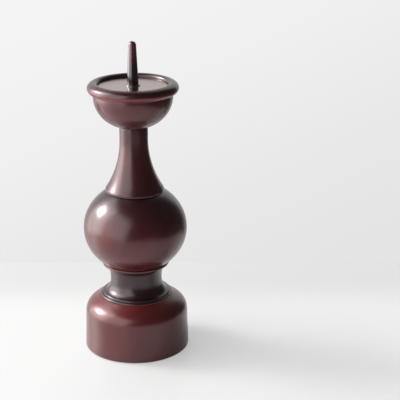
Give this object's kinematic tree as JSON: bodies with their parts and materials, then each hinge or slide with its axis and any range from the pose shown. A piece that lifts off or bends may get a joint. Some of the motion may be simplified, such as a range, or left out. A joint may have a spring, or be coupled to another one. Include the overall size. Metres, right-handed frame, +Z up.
{
  "type": "pricket candle stand",
  "caption": "Turned wooden candle stand with a drum foot, waisted spool, ball and trumpet neck, carrying a rolled-rim cup with a flat drip plate and a central spike for a pillar candle.",
  "frame": {"origin": "on the stand's axis, in the plane of the felt pad that rests on the table", "axes": "+Z up along the stand's axis, towards the spike's tip; the stand is round, so X and Y are free"},
  "size_m": [0.075, 0.075, 0.2246],
  "materials": {
    "lacquered_wood": "dark red-brown stain under satin clear lacquer",
    "lacquered_metal": "dark red-brown satin lacquer",
    "steel": "zinc plated",
    "felt": "dense wool felt"
  },
  "bodies": {
    "root": {"base_drum": "lacquered_wood", "spool": "lacquered_wood", "ball": "lacquered_wood", "neck": "lacquered_wood", "cup": "lacquered_wood", "drip_plate": "lacquered_metal", "spike_collar": "lacquered_metal", "pricket_spike": "lacquered_metal", "tie_rod": "steel", "base_washer": "steel", "lock_washer": "steel", "base_nut": "steel", "felt_pad": "felt"}
  },
  "joints": []
}
